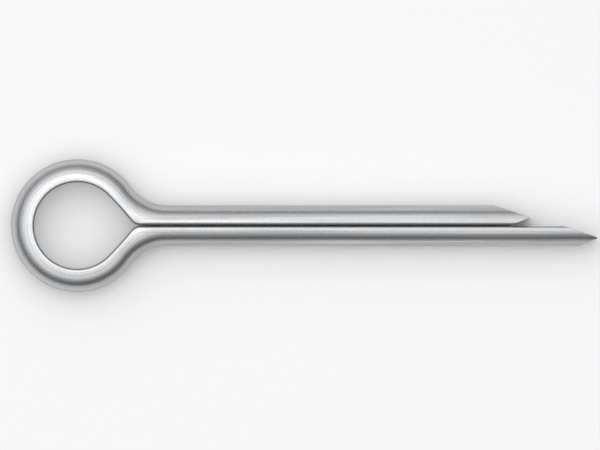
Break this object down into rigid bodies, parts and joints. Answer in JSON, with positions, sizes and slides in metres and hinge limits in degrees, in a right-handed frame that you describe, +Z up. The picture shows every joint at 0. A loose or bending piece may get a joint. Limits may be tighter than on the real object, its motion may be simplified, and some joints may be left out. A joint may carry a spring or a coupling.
{
  "type": "cotter pin",
  "caption": "Split pin of half-round wire: a round eye with a pointed throat, and two straight legs, flat to flat, that end in bevelled points, one leg longer.",
  "frame": {"origin": "centre of the eye, at the middle of the wire's width", "axes": "+X along the shank, from the eye to the points; +Y in the plane of the eye, towards the short leg; +Z up, square to the eye. The pin lies flat."},
  "size_m": [0.0843, 0.019, 0.0058],
  "materials": {
    "steel_wire": "drawn low-carbon steel wire, bright zinc plated"
  },
  "bodies": {
    "root": {"cotter_pin": "steel_wire"}
  },
  "joints": []
}
